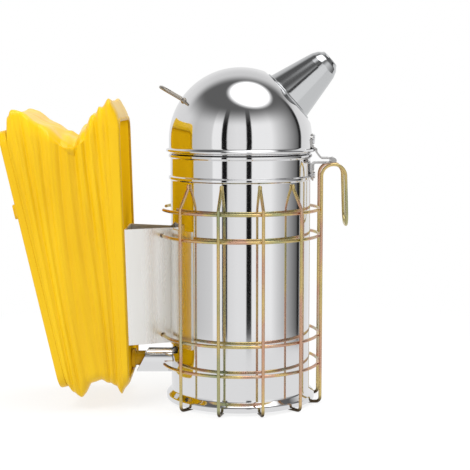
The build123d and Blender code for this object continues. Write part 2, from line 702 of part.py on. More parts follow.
def bellows_skin():
    """Folded skin between the two frames, as a plain hollow wedge with its lobes and the notch at the top."""
    def on_front(x, z):
        return (front_frame * Location((x, 0, z))).position

    def on_outer(x, z):
        return (outer_frame * Location((x, 0, z))).position

    front_x_edge = -frame_back - skin_gap
    outer_x_edge = frame_back + skin_gap
    f_top, f_low = on_front(front_x_edge, front_h), on_front(front_x_edge, skin_start)
    o_top, o_low = on_outer(outer_x_edge, outer_h), on_outer(outer_x_edge, skin_start)

    def beside(corner, offsets):
        return [(corner.X + x, corner.Z + z) for x, z in offsets]

    valley = ((f_top.X + o_top.X) / 2 + valley_side, f_top.Z - valley_drop)
    outline = beside(f_top, ((0, 0),) + front_lobe) + [valley] + beside(o_top, outer_lobe + ((0, 0),))
    outline += beside(o_low, ((0, 0),) + outer_low_lobe) + beside(f_low, front_low_lobe + ((0, 0),))
    face = make_face(Polyline(*outline, close=True))
    half = board_w / 2
    solid = extrude(Plane.XZ * face, half, both=True)
    hollow = extrude(Plane.XZ * offset(face, -skin_wall, kind=Kind.INTERSECTION), half - skin_wall, both=True)
    window = frame_w + skin_wall
    depth = frame_back + skin_gap + skin_wall + skin_overlap
    front_window = front_frame * board_blank(front_h, board_w, -depth, board_t, window)
    outer_window = outer_frame * board_blank(outer_h, board_w, -board_t, depth, window)
    front_clear = front_frame * board_blank(front_h, board_w, -board_t - board_gap, board_t, frame_w)
    outer_clear = outer_frame * board_blank(outer_h, board_w, -board_t, board_t + board_gap, frame_w)
    return solid - hollow - front_window - outer_window - front_clear - outer_clear


makers = {
    "can_body": can_body,
    "can_base": can_base,
    "grate": grate,
    "air_inlet_tube": air_inlet_tube,
    "bellows_bracket": bellows_bracket,
    "bracket_screws": bracket_screws,
    "hinge_leaf_can": hinge_leaf_can,
    "hinge_rivets_can": lambda: can_rivets(0),
    "hinge_pin": hinge_pin,
    "guard_hook": guard_hook,
    "lid_dome": lid_dome,
    "spout": spout,
    "lift_wire": lift_wire,
    "hinge_leaf_lid": hinge_leaf_lid,
    "hinge_rivets_lid": lambda: lid_rivets(0),
    "front_board": front_board,
    "front_frame": front_rim,
    "outlet_nozzle": outlet_nozzle,
    "front_spring_cup": lambda: front_cup_place * cup(),
    "return_spring": return_spring,
    "outer_spring_cup": lambda: outer_cup_place * cup(),
    "outer_board": outer_board,
    "outer_frame": outer_rim,
    "finger_stop": finger_stop,
    "finger_stop_screws": lambda: outer_frame * stop_screws(0),
    "bellows_skin": bellows_skin,
}
for number, z in enumerate(ring_heights, 1):
    angle = hooked_ring_angle if number in (2, 3) else ring_end_angle
    makers[f"guard_ring_{number}"] = lambda z=z, angle=angle: guard_ring(z, angle)
for number, angle in enumerate(upright_angles, 1):
    makers[f"guard_upright_{number}"] = lambda angle=angle: guard_upright(angle)

os.makedirs("parts", exist_ok=True)
for name, maker in makers.items():
    export_step(Part() + maker(), f"parts/{name}.step")
pivot = (outer_frame * Location((squeeze_pivot_x, 0, squeeze_pivot_z))).position
print("lid hinge axis", hinge_x, hinge_z)
print("bellows axis", round(pivot.X, 3), round(pivot.Z, 3))
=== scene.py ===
from math import cos, pi, radians, sin, sqrt

import bpy
import numpy as np
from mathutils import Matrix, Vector


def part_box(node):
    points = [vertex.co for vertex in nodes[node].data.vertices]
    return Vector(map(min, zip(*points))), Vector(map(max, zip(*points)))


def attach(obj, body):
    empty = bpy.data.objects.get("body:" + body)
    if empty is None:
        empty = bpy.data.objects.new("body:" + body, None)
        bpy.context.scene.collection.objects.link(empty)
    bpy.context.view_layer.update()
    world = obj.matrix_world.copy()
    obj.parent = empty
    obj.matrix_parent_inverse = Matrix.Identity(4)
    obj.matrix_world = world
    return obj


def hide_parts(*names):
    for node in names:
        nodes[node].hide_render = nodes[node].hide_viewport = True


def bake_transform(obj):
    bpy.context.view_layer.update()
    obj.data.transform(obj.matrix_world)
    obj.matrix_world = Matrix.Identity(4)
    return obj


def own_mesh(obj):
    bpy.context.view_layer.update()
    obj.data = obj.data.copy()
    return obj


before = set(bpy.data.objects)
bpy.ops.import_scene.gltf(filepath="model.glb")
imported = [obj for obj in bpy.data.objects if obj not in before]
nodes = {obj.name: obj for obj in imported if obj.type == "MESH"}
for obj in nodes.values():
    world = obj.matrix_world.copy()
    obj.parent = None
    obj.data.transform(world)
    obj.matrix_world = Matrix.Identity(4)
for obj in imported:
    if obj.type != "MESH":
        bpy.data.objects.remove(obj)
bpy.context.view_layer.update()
MM = 0.001


# ---------------------------------------------------------------------------------------------
# Can wall. Thin stainless sheet rolled into a tube and polished like a mirror, with a rolled
# bottom rim, two pressed beads near the top and a neck that goes up into the lid.
# ---------------------------------------------------------------------------------------------
can_low, can_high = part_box("can_body")
SHEET = 0.6 * MM
SHEET_BEND = 0.55 * MM
RIM_R = can_high.x
RIM_OUT = 3.6 * MM
RIM_LIP = 3 * MM
RIM_TOP = 5.6 * MM
FLARE_TOP = 9.4 * MM
FLARE_BEND = 1.6 * MM
CAN_R = RIM_R - RIM_OUT
NECK_R = CAN_R - 0.3 * MM
CAN_TOP = can_high.z
NECK_LOW = CAN_TOP - 6.2 * MM
SHOULDER = CAN_TOP - 7.0 * MM
BEAD_OUT = 1.3 * MM
BEAD_HALF = 1.7 * MM
UPPER_BEAD = CAN_TOP - 9.2 * MM
LOWER_BEAD = CAN_TOP - 25.0 * MM


def rounded_path(corners, radii, steps=10):
    """Points along straight runs joined by arcs: at each inner corner the path leaves the run at
    radius * tan(turn / 2) before the corner and follows a circle to the same distance after it."""
    corners = np.array(corners, float)
    radii = np.broadcast_to(np.array(radii, float), (len(corners) - 2,))
    parts = [corners[:1]]
    for before, corner, after, radius in zip(corners, corners[1:], corners[2:], radii):
        come = (corner - before) / np.linalg.norm(corner - before)
        leave = (after - corner) / np.linalg.norm(after - corner)
        turn = np.arccos(np.clip(come @ leave, -1, 1))
        if turn < 1e-4:
            parts.append(corner[None])
            continue
        inward = (leave - come) / np.linalg.norm(leave - come)
        centre = corner + inward * radius / np.cos(turn / 2)
        first = corner - come * radius * np.tan(turn / 2) - centre
        angle = np.linspace(0, turn, steps)[:, None]
        parts.append(centre + first * np.cos(angle) + come * radius * np.sin(angle))
    parts.append(corners[-1:])
    return np.concatenate(parts)


def evenly(path, spacing):
    """The same path with extra points so that no step is longer than the spacing: distance along
    the path is divided evenly between each pair of points."""
    steps = np.maximum(1, np.ceil(np.linalg.norm(np.diff(path, axis=0), axis=1) / spacing)).astype(int)
    station = np.arange(len(path))
    fine = np.concatenate([i + np.arange(n) / n for i, n in enumerate(steps)] + [[len(path) - 1]])
    return np.stack([np.interp(fine, station, path[:, k]) for k in range(path.shape[1])], axis=1)


def skin_mesh(name, points, loop_u=False, loop_v=False, cap_v=False, flip=False):
    """A mesh over a grid of points (u, v, 3): one quad between each four neighbours. loop_u and
    loop_v join the last row or column to the first; cap_v closes both ends of v with one face."""
    nu, nv = points.shape[:2]
    index = np.arange(nu * nv).reshape(nu, nv)
    if loop_u:
        index = np.concatenate([index, index[:1]])
    if loop_v:
        index = np.concatenate([index, index[:, :1]], axis=1)
    quads = np.stack([index[:-1, :-1], index[1:, :-1], index[1:, 1:], index[:-1, 1:]], axis=-1).reshape(-1, 4)
    caps = [index[:nu, 0][::-1], index[:nu, nv - 1]] if cap_v else []
    if flip:
        quads, caps = quads[:, ::-1], [cap[::-1] for cap in caps]
    loops = np.concatenate([quads.ravel(), *caps]).astype(np.int32)
    sizes = np.concatenate([np.full(len(quads), 4), [len(cap) for cap in caps]]).astype(np.int32)
    starts = np.concatenate([[0], np.cumsum(sizes)[:-1]]).astype(np.int32)
    mesh = bpy.data.meshes.new(name)
    mesh.vertices.add(nu * nv)
    mesh.vertices.foreach_set("co", points.astype(np.float32).ravel())
    mesh.loops.add(len(loops))
    mesh.loops.foreach_set("vertex_index", loops)
    mesh.polygons.add(len(sizes))
    mesh.polygons.foreach_set("loop_start", starts)
    mesh.polygons.foreach_set("use_smooth", np.ones(len(sizes), bool))
    mesh.update(calc_edges=True)
    mesh.validate()
    piece = bpy.data.objects.new(name, mesh)
    bpy.context.scene.collection.objects.link(piece)
    return piece


def turned(profile, steps):
    """A profile of (radius, height) points turned about Z: x = r cos a, y = r sin a, z = h."""
    angle = np.linspace(0, 2 * pi, steps, endpoint=False)[:, None]
    radius, height = profile[:, 0], profile[:, 1]
    return np.stack([radius * np.cos(angle), radius * np.sin(angle), height + 0 * angle], axis=-1)


def thicken(piece, thickness):
    """Gives a surface a wall, inwards from its outer face."""
    wall = piece.modifiers.new("wall", "SOLIDIFY")
    wall.thickness = thickness
    wall.offset = -1
    wall.use_rim = True


def bead_points(radius, height):
    """Four corners of a rolled bead, from its upper edge to its lower edge."""
    crest = BEAD_HALF * 0.45
    return [(radius, height + BEAD_HALF), (radius + BEAD_OUT, height + crest),
            (radius + BEAD_OUT, height - crest), (radius, height - BEAD_HALF)]


def new_material(name, **values):
    """A material with one Principled shader whose plain sockets are set by name."""
    material = bpy.data.materials.new(name)
    material.use_nodes = True
    shader = material.node_tree.nodes["Principled BSDF"]
    for socket, value in values.items():
        shader.inputs[socket.replace("_", " ")].default_value = value
    return material, shader


def node(tree, kind, **inputs):
    """A shader node with some of its inputs set or linked, by socket name or, as i0, by number."""
    made = tree.nodes.new(kind)
    for key, value in inputs.items():
        numbered = key[0] == "i" and key[1:].isdigit()
        socket = made.inputs[int(key[1:]) if numbered else key.replace("_", " ")]
        if isinstance(value, bpy.types.NodeSocket):
            tree.links.new(value, socket)
        else:
            socket.default_value = value
    return made


def arithmetic(tree, operation, a, b=0.0):
    """One Math node."""
    made = tree.nodes.new("ShaderNodeMath")
    made.operation = operation
    for socket, value in zip(made.inputs, (a, b)):
        if isinstance(value, bpy.types.NodeSocket):
            tree.links.new(value, socket)
        else:
            socket.default_value = value
    return made.outputs[0]


def ramp(tree, value, stops):
    """A colour ramp through (position, colour) stops."""
    made = tree.nodes.new("ShaderNodeValToRGB")
    tree.links.new(value, made.inputs[0])
    elements = made.color_ramp.elements
    while len(elements) < len(stops):
        elements.new(0.5)
    for element, (position, colour) in zip(elements, stops):
        element.position = position
        element.color = colour
    return made.outputs["Color"]


def object_place(tree, scale=(1, 1, 1)):
    """Object coordinates, stretched along each axis."""
    coordinates = tree.nodes.new("ShaderNodeTexCoord").outputs["Object"]
    return node(tree, "ShaderNodeMapping", Vector=coordinates, Scale=scale).outputs[0]


def metal_marks_group():
    """Hairlines and smudges of worked metal: outputs a roughness and a height from stretched noise."""
    group = bpy.data.node_groups.new("metal_marks", "ShaderNodeTree")
    group.interface.new_socket("Place", in_out="INPUT", socket_type="NodeSocketVector")
    for name, default in (("Grain", 1.0), ("Roughness", 0.1), ("Spread", 0.1)):
        socket = group.interface.new_socket(name, in_out="INPUT", socket_type="NodeSocketFloat")
        socket.default_value = default
    for name in ("Roughness", "Height"):
        group.interface.new_socket(name, in_out="OUTPUT", socket_type="NodeSocketFloat")
    entry = group.nodes.new("NodeGroupInput").outputs
    leave = group.nodes.new("NodeGroupOutput").inputs
    coarse = arithmetic(group, "MULTIPLY", entry["Grain"], 0.12)
    hairs = node(group, "ShaderNodeTexNoise", Vector=entry["Place"], Scale=entry["Grain"], Detail=6.0,
                 Roughness=0.65)
    smudge = node(group, "ShaderNodeTexNoise", Vector=entry["Place"], Scale=coarse, Detail=3.0)
    both = arithmetic(group, "ADD", arithmetic(group, "MULTIPLY", hairs.outputs[0], 0.4),
                      arithmetic(group, "MULTIPLY", smudge.outputs[0], 0.6))
    spread = arithmetic(group, "MULTIPLY", arithmetic(group, "SUBTRACT", both, 0.5), entry["Spread"])
    group.links.new(arithmetic(group, "ADD", spread, entry["Roughness"]), leave["Roughness"])
    group.links.new(hairs.outputs[0], leave["Height"])
    return group


metal_marks = metal_marks_group()


def marked_metal(name, colour, roughness, spread, grain, stretch, bump):
    """A metal with hairlines along one direction, from the metal_marks group."""
    material, shader = new_material(name, Metallic=1.0, Base_Color=(*colour, 1))
    tree = material.node_tree
    marks = node(tree, "ShaderNodeGroup")
    marks.node_tree = metal_marks
    tree.links.new(object_place(tree, stretch), marks.inputs["Place"])
    marks.inputs["Grain"].default_value = grain
    marks.inputs["Roughness"].default_value = roughness
    marks.inputs["Spread"].default_value = spread
    tree.links.new(marks.outputs["Roughness"], shader.inputs["Roughness"])
    relief = node(tree, "ShaderNodeBump", Strength=bump, Distance=0.0002, Height=marks.outputs["Height"])
    tree.links.new(relief.outputs[0], shader.inputs["Normal"])
    return material


def paint(piece, material):
    """Gives a piece one material."""
    piece.data.materials.clear()
    piece.data.materials.append(material)


polished = marked_metal("polished_steel", (0.80, 0.80, 0.81), 0.055, 0.05, 60.0, (1, 1, 0.25), 0.02)


def can_wall():
    """Outer face of the can from the neck's top edge down to the lip under the rolled rim."""
    lip = can_low.z
    corners = [(NECK_R, CAN_TOP), (NECK_R, NECK_LOW), (CAN_R, SHOULDER)]
    corners += bead_points(CAN_R, UPPER_BEAD) + bead_points(CAN_R, LOWER_BEAD)
    corners += [(CAN_R, FLARE_TOP), (RIM_R - 0.5 * MM, RIM_TOP + 0.8 * MM), (RIM_R, RIM_TOP)]
    corners += [(RIM_R, lip), (RIM_R - RIM_LIP, lip)]
    radii = np.full(len(corners) - 2, SHEET_BEND)
    radii[-4] = FLARE_BEND
    profile = evenly(rounded_path(corners, radii, 8), 2.5 * MM)
    piece = skin_mesh("can_wall", turned(profile, 288), loop_u=True, flip=True)
    thicken(piece, SHEET)
    return piece


can = can_wall()
paint(can, polished)
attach(can, "smoker")
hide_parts("can_body")
paint(nodes["can_base"], polished)
paint(nodes["air_inlet_tube"], polished)


# ---------------------------------------------------------------------------------------------
# Grate. A punched plate of brushed sheet that stands in the can on three bent tongues, so that
# air from the bellows reaches the fuel from below.
# ---------------------------------------------------------------------------------------------
brushed = marked_metal("brushed_grate_steel", (0.62, 0.62, 0.61), 0.32, 0.25, 220.0, (0.08, 1, 1), 0.25)
paint(nodes["grate"], brushed)


# ---------------------------------------------------------------------------------------------
# Lid. A spun stainless dome with a rolled rim, pressed flat on the spout side, polished like the
# can. Its grid is turned about the spout's axis, so that the edge of the flat is a clean ring.
# ---------------------------------------------------------------------------------------------
lid_low, lid_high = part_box("lid_dome")
LID_RIM_R = lid_high.x
LID_RIM_D = 2.3 * MM
LID_SHEET = 0.5 * MM
LID_R = LID_RIM_R - 2.2 * MM
LID_CENTRE = np.array([0, 0, CAN_TOP + 2.3 * MM])
SPOUT_RISE = radians(41.8)
SPOUT_AXIS = np.array([cos(SPOUT_RISE), 0, sin(SPOUT_RISE)])
SPOUT_UP = np.array([-sin(SPOUT_RISE), 0, cos(SPOUT_RISE)])
ACROSS = np.array([0.0, 1.0, 0.0])
FLAT_AT = 45.5 * MM
SPOUT_R = 19.3 * MM


def lid_dome():
    """Rings about the spout's axis: flat from the spout hole to the crease, then the sphere, where
    tan(angle) = -tan(rise) / cos(turn) on the equator, then the skirt and the rolled rim below it."""
    turn = np.linspace(0, 2 * pi, 288, endpoint=False)
    crease = np.arccos(FLAT_AT / LID_R)
    crease_r = LID_R * sin(crease)
    flat_r = np.array([SPOUT_R - SHEET, SPOUT_R + 1 * MM, crease_r - 0.5 * MM, crease_r - 0.15 * MM])
    ring = np.cos(turn)[:, None, None] * SPOUT_UP + np.sin(turn)[:, None, None] * ACROSS
    flat = LID_CENTRE + SPOUT_AXIS * FLAT_AT + ring * flat_r[None, :, None]
    equator = np.arctan2(sin(SPOUT_RISE), -np.cos(turn) * cos(SPOUT_RISE))[:, None]
    share = np.concatenate([[0.0, 0.006], np.linspace(0.02, 1, 90)])[None]
    first = crease + 0.003
    angle = (first + (equator - first) * share)[..., None]
    globe = LID_CENTRE + LID_R * (np.cos(angle) * SPOUT_AXIS + np.sin(angle) * ring)
    last = globe[:, -1] - LID_CENTRE
    around = np.arctan2(last[:, 1], last[:, 0])[:, None]
    rim = LID_RIM_D / 2
    rim_z = lid_low.z + rim
    curl = np.linspace(radians(100), radians(-190), 20)
    roll = np.stack([LID_R + rim - 0.1 * MM + rim * np.cos(curl), rim_z + rim * np.sin(curl)], axis=1)
    skirt = np.array([[LID_R, LID_CENTRE[2] - d * MM] for d in (1.5, 3, 4.5)])
    profile = np.concatenate([skirt, [[LID_R + 0.02 * MM, rim_z + rim + 0.5 * MM]], roll])
    radius, height = profile[:, 0], profile[:, 1]
    lower = np.stack([radius * np.cos(around), radius * np.sin(around), height + 0 * around], axis=-1)
    return skin_mesh("dome", np.concatenate([flat, globe, lower], axis=1), loop_u=True)


dome = lid_dome()
paint(dome, polished)
thicken(dome, LID_SHEET)
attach(dome, "lid")
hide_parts("lid_dome")


# ---------------------------------------------------------------------------------------------
# Spout. A seamed cone that narrows and rounds in to a small mouth. A folded ring holds it on the
# flat of the lid.
# ---------------------------------------------------------------------------------------------
SPOUT_RING = [(21.3, 0.03), (21.3, 1.3), (19.4, 1.5)]
SPOUT_CONE_TOP = (12.75, 30.0)
SPOUT_SHOULDER = [(11.7, 34.0), (9.7, 38.0)]
SPOUT_MOUTH = [(7.3, 40.3), (6.9, 41.0)]


def spout_mesh():
    """The seam ring, the straight cone, the shoulder's arcs and the lip are one profile of (radius,
    height): point = base + r (cos a up + sin a across) + h axis."""
    corners = [*SPOUT_RING, SPOUT_CONE_TOP, *SPOUT_SHOULDER, *SPOUT_MOUTH]
    radii = [0.5, 0.5, 9.0, 5.0, 4.0, 0.5]
    profile = evenly(rounded_path(np.array(corners) * MM, np.array(radii) * MM, 14), 1.5 * MM)
    turn = np.linspace(0, 2 * pi, 160, endpoint=False)[:, None, None]
    ring = np.cos(turn) * SPOUT_UP + np.sin(turn) * ACROSS
    base = LID_CENTRE + SPOUT_AXIS * FLAT_AT
    points = base + ring * profile[None, :, :1] + SPOUT_AXIS * profile[None, :, 1:]
    return skin_mesh("spout_cone", points, loop_u=True, flip=True)


spun = marked_metal("drawn_spout_steel", (0.60, 0.61, 0.62), 0.11, 0.12, 60.0, (1, 1, 0.2), 0.03)
spout = spout_mesh()
paint(spout, spun)
thicken(spout, LID_SHEET)
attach(spout, "lid")
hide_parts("spout")


# ---------------------------------------------------------------------------------------------
# Wire guard. Zinc plated and yellow passivated steel wire, spot welded: four rings outside the
# can, eight uprights with feet, and the hanging hook on the spout side.
# ---------------------------------------------------------------------------------------------
ring_low, ring_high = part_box("guard_ring_1")
WIRE = (ring_high.z - ring_low.z) / 2
WELD_GAP = 0.02 * MM
RING_R = ring_high.x - WIRE
UPRIGHT_R = RING_R + 2 * WIRE + WELD_GAP
LEAN_R = CAN_R + WIRE + WELD_GAP
TOE_R = 47.5 * MM
FOOT_BEND = 3 * MM
UPRIGHT_BEND_DOWN = 17.3 * MM
LEAN_LENGTH = 3 * MM
UPRIGHT_BENDS = [FOOT_BEND, 5 * MM, 1.5 * MM]
UPRIGHT_ANGLES = (45, 75, 105, 135, -135, -105, -75, -45)
RING_GAPS = (15.0, 8.0, 8.0, 15.0)


def wire(name, path, radius, towards, sides=14):
    """A round wire: each point of the path gets a circle across its tangent, on axes found with the
    fixed direction towards. The radius shrinks over the last points, so that the ends are rounded."""
    step = np.diff(path, axis=0)
    ends = [step[:1], step[-1:]]
    lengths = [np.linalg.norm(end) for end in ends]
    bulge = np.linspace(0.15, pi / 2, 5)
    cap = radius * (1 - np.cos(bulge))[:, None]
    first = path[0] + ends[0] / lengths[0] * cap
    last = path[-1] - ends[1] / lengths[1] * cap[::-1]
    path = np.concatenate([first, path[1:-1], last])
    size = np.full(len(path), radius)
    size[:len(bulge)] *= np.sin(bulge)
    size[-len(bulge):] *= np.sin(bulge)[::-1]
    tangent = np.gradient(path, axis=0)
    tangent /= np.linalg.norm(tangent, axis=1, keepdims=True)
    side = np.cross(tangent, np.array(towards, float))
    side /= np.linalg.norm(side, axis=1, keepdims=True)
    other = np.cross(tangent, side)
    angle = np.linspace(0, 2 * pi, sides, endpoint=False)[:, None, None]
    points = path + size[:, None] * (np.cos(angle) * side + np.sin(angle) * other)
    return skin_mesh(name, points, loop_u=True, cap_v=True, flip=True)


def passivated_wire_material():
    """Yellow chromate on zinc: olive gold with bands of rose and green where the film is thicker, and
    painted shade: the wire turns near black over its lowest few millimetres, where the feet stand."""
    material, shader = new_material("yellow_passivated_wire", Metallic=1.0, Roughness=0.24)
    tree = material.node_tree
    place = object_place(tree, (1, 1, 0.45))
    film = node(tree, "ShaderNodeTexNoise", Vector=place, Scale=34.0, Detail=2.0, Roughness=0.5)
    colour = ramp(tree, film.outputs[0], [
        (0.30, (0.40, 0.43, 0.24, 1)), (0.42, (0.62, 0.51, 0.22, 1)), (0.50, (0.76, 0.56, 0.24, 1)),
        (0.58, (0.68, 0.40, 0.28, 1)), (0.70, (0.58, 0.55, 0.38, 1))])
    # Painted shade: below 6 mm height the colour blends towards near black, fully below 2 mm, for the shade
    # under the can at the feet.
    height = node(tree, "ShaderNodeSeparateXYZ", Vector=object_place(tree)).outputs["Z"]
    painted_foot_shade = node(tree, "ShaderNodeMapRange", Value=height)
    painted_foot_shade.inputs["From Min"].default_value = 0.002
    painted_foot_shade.inputs["From Max"].default_value = 0.006
    shade = tree.nodes.new("ShaderNodeMix")
    shade.data_type = "RGBA"
    tree.links.new(painted_foot_shade.outputs[0], shade.inputs[0])
    # Near black of the painted shade at the feet.
    shade.inputs[6].default_value = (0.075, 0.055, 0.035, 1)
    tree.links.new(colour, shade.inputs[7])
    tree.links.new(shade.outputs[2], shader.inputs["Base Color"])
    pits = node(tree, "ShaderNodeTexNoise", Vector=object_place(tree), Scale=320.0, Detail=2.0)
    relief = node(tree, "ShaderNodeBump", Strength=0.015, Distance=0.0002, Height=pits.outputs[0])
    tree.links.new(relief.outputs[0], shader.inputs["Normal"])
    rough = arithmetic(tree, "ADD", arithmetic(tree, "MULTIPLY", pits.outputs[0], 0.12), 0.2)
    tree.links.new(rough, shader.inputs["Roughness"])
    return material


guard_finish = passivated_wire_material()


def guard_piece(piece, cad_node):
    """Finishes one wire and lets it stand for its CAD node."""
    paint(piece, guard_finish)
    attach(piece, "smoker")
    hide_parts(cad_node)


def ring_path(height, gap):
    """An arc of the ring's radius that leaves the gap, in degrees each side, open towards -X."""
    angle = np.radians(np.linspace(-180 + gap, 180 - gap, 220))
    return np.stack([RING_R * np.cos(angle), RING_R * np.sin(angle), height + 0 * angle], axis=1)


for number, gap in enumerate(RING_GAPS, 1):
    low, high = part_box(f"guard_ring_{number}")
    path = ring_path((low.z + high.z) / 2, gap)
    guard_piece(wire(f"ring_{number}", path, WIRE, (0, 0, 1)), f"guard_ring_{number}")

# Each upright is bent in its own plane, as (radius, 0, height), and then turned to its place.
for number, degrees in enumerate(UPRIGHT_ANGLES, 1):
    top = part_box(f"guard_upright_{number}")[1].z
    corners = [(TOE_R, 0, WIRE), (UPRIGHT_R, 0, WIRE), (UPRIGHT_R, 0, top - UPRIGHT_BEND_DOWN),
               (LEAN_R, 0, top - LEAN_LENGTH), (LEAN_R, 0, top)]
    path = evenly(rounded_path(corners, UPRIGHT_BENDS), 4 * MM)
    angle = radians(degrees)
    spoke = np.array([cos(angle), sin(angle), 0])
    path = path[:, :1] * spoke + path[:, 2:] * np.array([0, 0, 1.0])
    upright = wire(f"upright_{number}", path, WIRE, (-sin(angle), cos(angle), 0))
    guard_piece(upright, f"guard_upright_{number}")

hook_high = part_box("guard_hook")[1]
HOOK_Y = hook_high.y - WIRE
HOOK_TIP_X = hook_high.x - WIRE
HOOK_X = HOOK_TIP_X - 1.5 * MM
HOOK_TOP = hook_high.z - WIRE
HOOK_TIP_Z = 130 * MM


def hook_wire():
    """From the foot up the leg, over the arch, down the strand, round the U at the tip, and back."""
    leg_x = sqrt(UPRIGHT_R**2 - HOOK_Y**2)
    toe_x = sqrt(TOE_R**2 - HOOK_Y**2)
    arch = (HOOK_X - leg_x) / 2 - 0.1 * MM
    half = [(toe_x, HOOK_Y, WIRE), (leg_x, HOOK_Y, WIRE), (leg_x, HOOK_Y, HOOK_TOP),
            (HOOK_X, HOOK_Y, HOOK_TOP), (HOOK_TIP_X, HOOK_Y, HOOK_TIP_Z)]
    corners = half + [(x, -y, z) for x, y, z in reversed(half)]
    tip = HOOK_Y * 0.7
    radii = [FOOT_BEND, arch, arch, tip, tip, arch, arch, FOOT_BEND]
    path = evenly(rounded_path(corners, radii, 14), 4 * MM)
    return wire("hook", path, WIRE, (1, 1, 0))


guard_piece(hook_wire(), "guard_hook")


# ---------------------------------------------------------------------------------------------
# Lifting wire. A bent wire by which the hot lid is opened, with both feet spot welded to the dome
# on the bellows side, browned by smoke.
# ---------------------------------------------------------------------------------------------
aged = marked_metal("aged_lifting_wire", (0.40, 0.36, 0.31), 0.38, 0.3, 300.0, (1, 1, 1), 0.15)
paint(nodes["lift_wire"], aged)


# ---------------------------------------------------------------------------------------------
# Hinge, bracket and fixings. Satin steel leaves on a pin, aluminium rivets, a bracket of dull
# zinc-coated sheet spot welded to the can, and plated screws.
# ---------------------------------------------------------------------------------------------
satin = marked_metal("satin_hinge_steel", (0.52, 0.51, 0.50), 0.26, 0.2, 300.0, (1, 0.1, 1), 0.1)
dull = marked_metal("zinc_coated_sheet", (0.74, 0.74, 0.74), 0.36, 0.3, 90.0, (1, 1, 1), 0.12)
streaked = marked_metal("streaked_bracket_sheet", (0.86, 0.85, 0.82), 0.3, 0.5, 110.0, (1, 1, 0.06), 0.2)
soft_metal = marked_metal("rivet_aluminium", (0.78, 0.78, 0.79), 0.3, 0.2, 400.0, (1, 1, 1), 0.1)
for name in ("hinge_leaf_can", "hinge_leaf_lid", "hinge_pin"):
    paint(nodes[name], satin)
for name in ("hinge_rivets_can", "hinge_rivets_lid"):
    paint(nodes[name], soft_metal)
paint(nodes["bellows_bracket"], streaked)
for name in ("bracket_screws", "finger_stop_screws", "front_spring_cup", "outer_spring_cup"):
    paint(nodes[name], dull)


# ---------------------------------------------------------------------------------------------
# Bellows. Two boards with moulded frames, and a skin of glossy yellow vinyl that is folded
# between them. The skin stands up in a lobe beside each board and sinks to a notch between them.
# ---------------------------------------------------------------------------------------------
def yellow_material(name, colour, dark, roughness, bump, gloss):
    """Yellow vinyl or board: a little deeper in patches, with fine creases."""
    material, shader = new_material(name, Coat_Weight=gloss * 0.4, Coat_Roughness=0.15,
                                    Specular_IOR_Level=gloss)
    tree = material.node_tree
    place = object_place(tree, (1, 1, 0.3))
    cloud = node(tree, "ShaderNodeTexNoise", Vector=place, Scale=30.0, Detail=3.0)
    tint = ramp(tree, cloud.outputs[0], [(0.3, (*dark, 1)), (0.65, (*colour, 1))])
    tree.links.new(tint, shader.inputs["Base Color"])
    crease = node(tree, "ShaderNodeTexNoise", Vector=place, Scale=260.0, Detail=4.0)
    relief = node(tree, "ShaderNodeBump", Strength=bump, Distance=0.0004, Height=crease.outputs[0])
    tree.links.new(relief.outputs[0], shader.inputs["Normal"])
    rough = arithmetic(tree, "ADD", arithmetic(tree, "MULTIPLY", crease.outputs[0], 0.12), roughness)
    tree.links.new(rough, shader.inputs["Roughness"])
    return material


vinyl = yellow_material("yellow_vinyl", (0.80, 0.51, 0.008), (0.72, 0.43, 0.004), 0.24, 0.08, 0.22)
moulded = yellow_material("yellow_moulding", (0.76, 0.47, 0.007), (0.70, 0.41, 0.004), 0.32, 0.06, 0.2)
FRONT_LEAN = radians(1.6)
OUTER_LEAN = radians(12.6)
BOARD_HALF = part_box("front_frame")[1].y
BOARD_CORNER = 11 * MM
FRAME_W = 2.9
FRAME_BENDS = [0.6, 1.0, 1.0, 0.9]
FRONT_DEPTHS = (-4.0, 1.5)
OUTER_DEPTHS = (-1.5, 4.0)
FRONT_H = 188 * MM
OUTER_H = 186.4 * MM
front_up = np.array([-sin(FRONT_LEAN), 0, cos(FRONT_LEAN)])
front_out = np.array([cos(FRONT_LEAN), 0, sin(FRONT_LEAN)])
outer_up = np.array([-sin(OUTER_LEAN), 0, cos(OUTER_LEAN)])
outer_out = np.array([cos(OUTER_LEAN), 0, sin(OUTER_LEAN)])
front_foot = np.array([-79.9 * MM, 0, 20 * MM])
outer_foot = np.array([-126.0 * MM, 0, 16.6 * MM])


def board_outline(half, height, corner, steps):
    """A rectangle with rounded corners as (across, up) points, from the middle of its lower edge,
    round towards -Y, up, and back; the points lie at equal distances along it."""
    corners = [(0, 0), (-half, 0), (-half, height), (half, height), (half, 0), (0, 0)]
    path = rounded_path(corners, corner, 12)
    run = np.concatenate([[0], np.cumsum(np.linalg.norm(np.diff(path, axis=0), axis=1))])
    even = np.linspace(0, run[-1], steps, endpoint=False)
    return np.stack([np.interp(even, run, path[:, k]) for k in (0, 1)], axis=1)


def moulding(name, foot, up, out, height, depths):
    """A frame round a board: its small section is carried round the board's outline, and each point
    of the section moves inwards from the outline by its inset."""
    low, high = depths
    seam = (FRAME_W, (low + high) / 2)
    corners = [seam, (FRAME_W, low), (0, low), (0, high), (FRAME_W, high), seam]
    section = rounded_path(corners, FRAME_BENDS, 6)[:-1] * MM
    rows = []
    for inset, depth in section:
        outline = board_outline(BOARD_HALF - inset, height - 2 * inset, BOARD_CORNER - inset, 240)
        rows.append(foot + outline[:, :1] * ACROSS + (outline[:, 1:] + inset) * up + depth * out)
    return skin_mesh(name, np.stack(rows), loop_u=True, loop_v=True)


